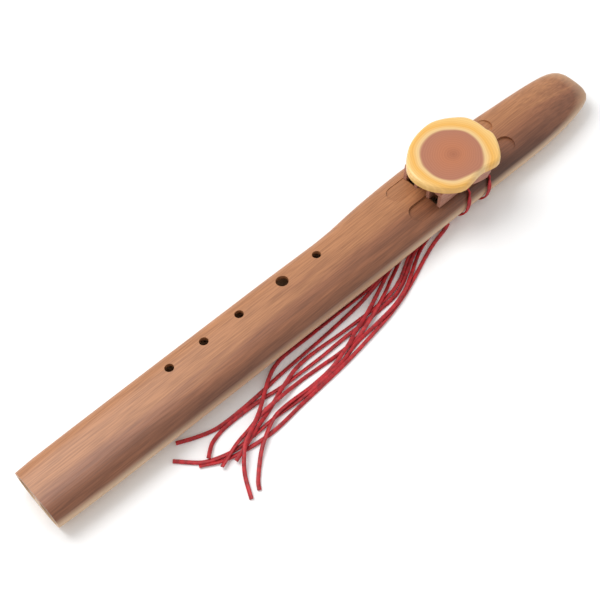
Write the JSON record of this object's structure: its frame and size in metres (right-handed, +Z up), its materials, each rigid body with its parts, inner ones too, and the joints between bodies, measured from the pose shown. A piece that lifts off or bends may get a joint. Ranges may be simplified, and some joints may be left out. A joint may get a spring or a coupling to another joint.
{
  "type": "double flute",
  "caption": "Wooden block flute with a melody bore and a drone bore side by side, a sliding block tied on with a red leather lace, and a loose lace fringe.",
  "frame": {"origin": "middle of the flute's length and width, at the surface that it lies on", "axes": "+X from the foot to the mouth end, +Y towards the melody side, +Z up through the block"},
  "size_m": [0.6, 0.1355, 0.0559],
  "materials": {
    "body_wood": "oiled",
    "block_wood": "oiled",
    "slice_wood": "satin lacquer",
    "lace": "dyed leather"
  },
  "bodies": {
    "body": {"body_top": "body_wood", "body_bottom": "body_wood", "lace_wrap": "lace", "fringe_knot": "lace", "tail_1": "lace", "tail_2": "lace", "tail_3": "lace", "tail_4": "lace", "tail_5": "lace", "tail_6": "lace", "tail_7": "lace", "tail_8": "lace"},
    "block": {"block_base": "block_wood", "block_slab": "slice_wood"}
  },
  "joints": [
    {"name": "block_slide", "type": "slide", "parent": "body", "child": "block", "axis": [1, 0, 0], "range_m": [-0.0012, 0.0012]}
  ]
}
